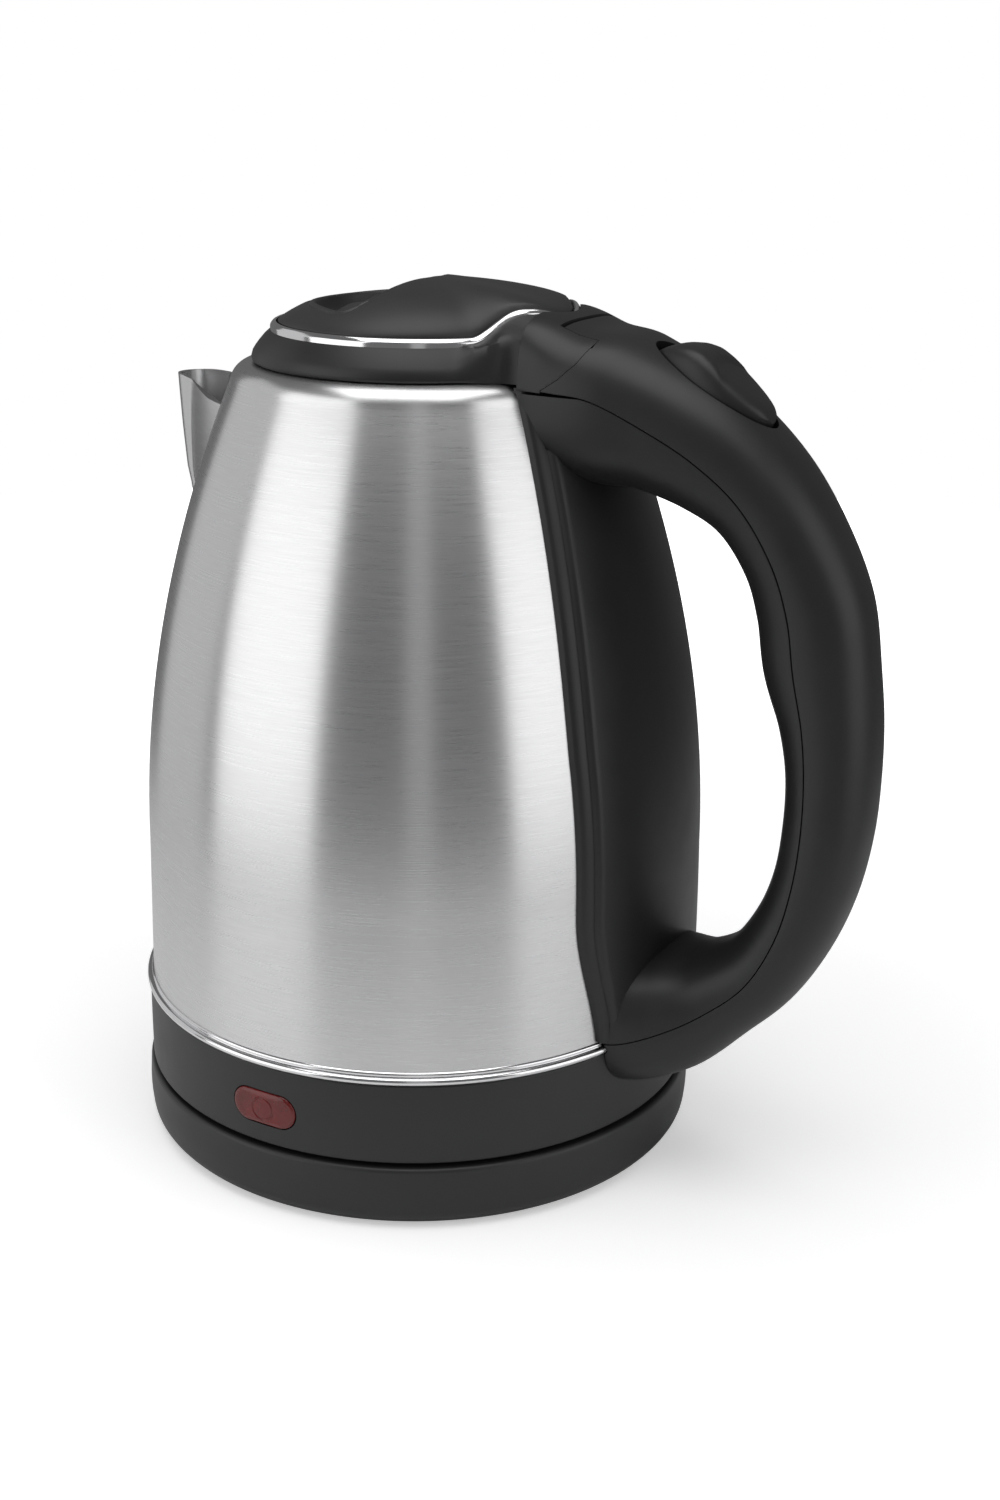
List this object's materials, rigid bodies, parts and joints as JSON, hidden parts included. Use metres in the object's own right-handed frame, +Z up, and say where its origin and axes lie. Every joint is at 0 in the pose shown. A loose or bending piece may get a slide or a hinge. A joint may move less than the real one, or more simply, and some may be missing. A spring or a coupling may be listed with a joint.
{
  "type": "electric kettle",
  "caption": "Cordless electric kettle: brushed steel body, V spout, domed lift lid, loop handle with rocker switch, on a round power base.",
  "frame": {"origin": "kettle axis at the plane that the rubber feet stand on", "axes": "+X to the handle, -X to the spout, -Y to the indicator lamp, +Z up"},
  "size_m": [0.2141, 0.1585, 0.2389],
  "materials": {
    "black_plastic": "satin moulded, fine texture",
    "handle_plastic": "satin moulded",
    "lid_plastic": "satin moulded",
    "connector_plastic": "smooth moulded",
    "foot_rubber": "matt",
    "seal_rubber": "translucent silicone",
    "tube_rubber": "silicone",
    "brushed_body": "fine horizontal brushing",
    "satin_steel": "satin",
    "bright_trim": "polished",
    "screw_steel": "zinc plated",
    "contact_brass": "bright",
    "heater_aluminium": "cast",
    "element_sheath": "oxidised",
    "pale_plastic": "moulded",
    "red_plastic": "moulded",
    "red_lens": "translucent red",
    "lamp_glass": "neon lamp",
    "lead_insulation": "insulated wire"
  },
  "bodies": {
    "power_base": {"base_cover": "black_plastic", "base_plate": "black_plastic", "base_feet": "foot_rubber", "base_screws": "screw_steel", "base_connector": "connector_plastic", "base_contacts": "contact_brass", "cord_clamp": "connector_plastic"},
    "coupler": {"kettle_socket": "connector_plastic", "socket_contacts": "contact_brass"},
    "kettle": {"bottom_cover": "black_plastic", "bottom_screws": "screw_steel", "lower_housing": "black_plastic", "seam_ring": "bright_trim", "steel_body": "brushed_body", "spout": "brushed_body", "spout_filter": "pale_plastic", "boiling_plate": "satin_steel", "heat_spreader": "heater_aluminium", "heating_element": "element_sheath", "element_pins": "contact_brass", "control_unit": "pale_plastic", "bimetal_discs": "contact_brass", "indicator_lens": "red_lens", "indicator_lamp": "lamp_glass", "lamp_holder": "pale_plastic", "lamp_leads": "lead_insulation", "handle_outer": "handle_plastic", "handle_inner": "handle_plastic", "handle_screws": "screw_steel", "switch_leads": "lead_insulation", "collar": "handle_plastic", "trim_ring": "bright_trim", "hinge_post": "handle_plastic", "lid_hinge_pin": "screw_steel", "steam_tube": "tube_rubber", "steam_switch": "pale_plastic", "steam_bimetal": "contact_brass", "rocker_pin": "screw_steel"},
    "lid": {"lid_shell": "lid_plastic", "lid_knuckles": "lid_plastic", "lid_liner": "satin_steel", "lid_seal": "seal_rubber", "lid_screws": "screw_steel"},
    "rocker": {"rocker_switch": "handle_plastic"},
    "trip": {"trip_lever": "red_plastic"}
  },
  "joints": [
    {"name": "kettle_lift", "type": "slide", "parent": "power_base", "child": "coupler", "axis": [0, 0, 1], "range_m": [0, 0.1]},
    {"name": "kettle_swivel", "type": "hinge", "parent": "coupler", "child": "kettle", "pos_m": [0, 0, 0.03], "axis": [0, 0, 1], "continuous": true},
    {"name": "lid_hinge", "type": "hinge", "parent": "kettle", "child": "lid", "pos_m": [0.038, 0, 0.233], "axis": [0, 1, 0], "range_deg": [0, 75]},
    {"name": "rocker_tilt", "type": "hinge", "parent": "kettle", "child": "rocker", "pos_m": [0.086, 0, 0.2164], "axis": [0, -1, 0], "range_deg": [0, 9]},
    {"name": "trip_tilt", "type": "hinge", "parent": "kettle", "child": "trip", "pos_m": [0.0803, 0, 0.21135], "axis": [0, -1, 0], "range_deg": [0, 4.6]}
  ],
  "couplings": [
    {"joint": "trip_tilt", "follows": "rocker_tilt", "ratio": 0.5}
  ]
}
